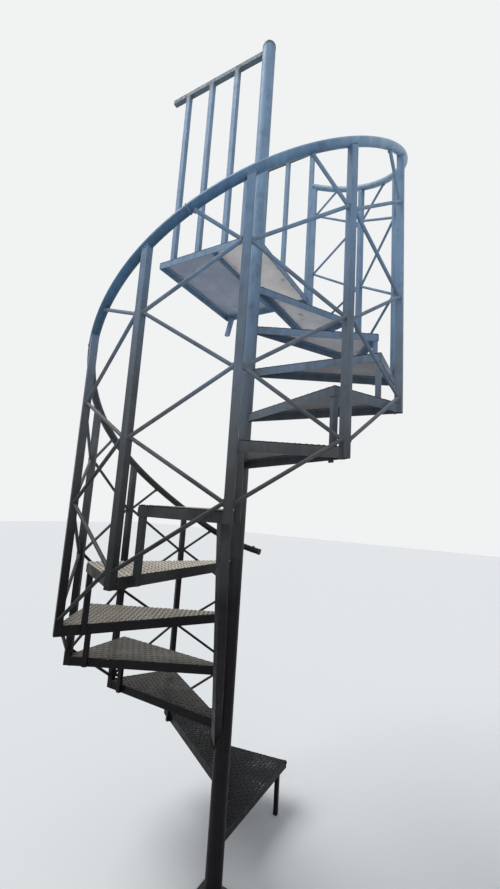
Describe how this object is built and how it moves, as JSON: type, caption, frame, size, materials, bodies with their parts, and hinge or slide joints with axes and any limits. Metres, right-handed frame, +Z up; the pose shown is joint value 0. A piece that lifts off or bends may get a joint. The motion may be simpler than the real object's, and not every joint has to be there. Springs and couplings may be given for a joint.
{
  "type": "spiral staircase",
  "caption": "Welded steel spiral staircase: chequer plate wedge treads wind a full turn round a tube column up to a rectangular landing, inside a zigzag rod balustrade with a round handrail.",
  "frame": {"origin": "axis of the column on the floor, at the underside of the base plate", "axes": "+Z up the column; +X along the front edge of the first tread, which is also the front edge of the landing; +Y the way the landing leads, towards the building"},
  "size_m": [1.2814, 1.2814, 3.676],
  "materials": {
    "frame_paint": "old semi-gloss dark blue-grey paint, chipped and dusty",
    "plate_paint": "raised-pattern plate, paint worn off the tops of the dashes"
  },
  "bodies": {
    "root": {"base_plate": "frame_paint", "column": "frame_paint", "column_cap": "frame_paint", "knee_brace": "frame_paint", "tread_frame_01": "frame_paint", "tread_frame_02": "frame_paint", "tread_frame_03": "frame_paint", "tread_frame_04": "frame_paint", "tread_frame_05": "frame_paint", "tread_frame_06": "frame_paint", "tread_frame_07": "frame_paint", "tread_frame_08": "frame_paint", "tread_frame_09": "frame_paint", "tread_frame_10": "frame_paint", "tread_frame_11": "frame_paint", "tread_frame_12": "frame_paint", "tread_plate_01": "plate_paint", "tread_plate_02": "plate_paint", "tread_plate_03": "plate_paint", "tread_plate_04": "plate_paint", "tread_plate_05": "plate_paint", "tread_plate_06": "plate_paint", "tread_plate_07": "plate_paint", "tread_plate_08": "plate_paint", "tread_plate_09": "plate_paint", "tread_plate_10": "plate_paint", "tread_plate_11": "plate_paint", "tread_plate_12": "plate_paint", "rail_post_01": "frame_paint", "rail_panel_02": "frame_paint", "rail_panel_03": "frame_paint", "rail_panel_04": "frame_paint", "rail_panel_05": "frame_paint", "rail_panel_06": "frame_paint", "rail_panel_07": "frame_paint", "rail_panel_08": "frame_paint", "rail_panel_09": "frame_paint", "rail_panel_10": "frame_paint", "rail_panel_11": "frame_paint", "rail_panel_12": "frame_paint", "handrail": "frame_paint", "landing_frame": "frame_paint", "landing_plate": "plate_paint", "landing_leg": "frame_paint", "landing_guard": "frame_paint", "side_guard": "frame_paint"}
  },
  "joints": []
}
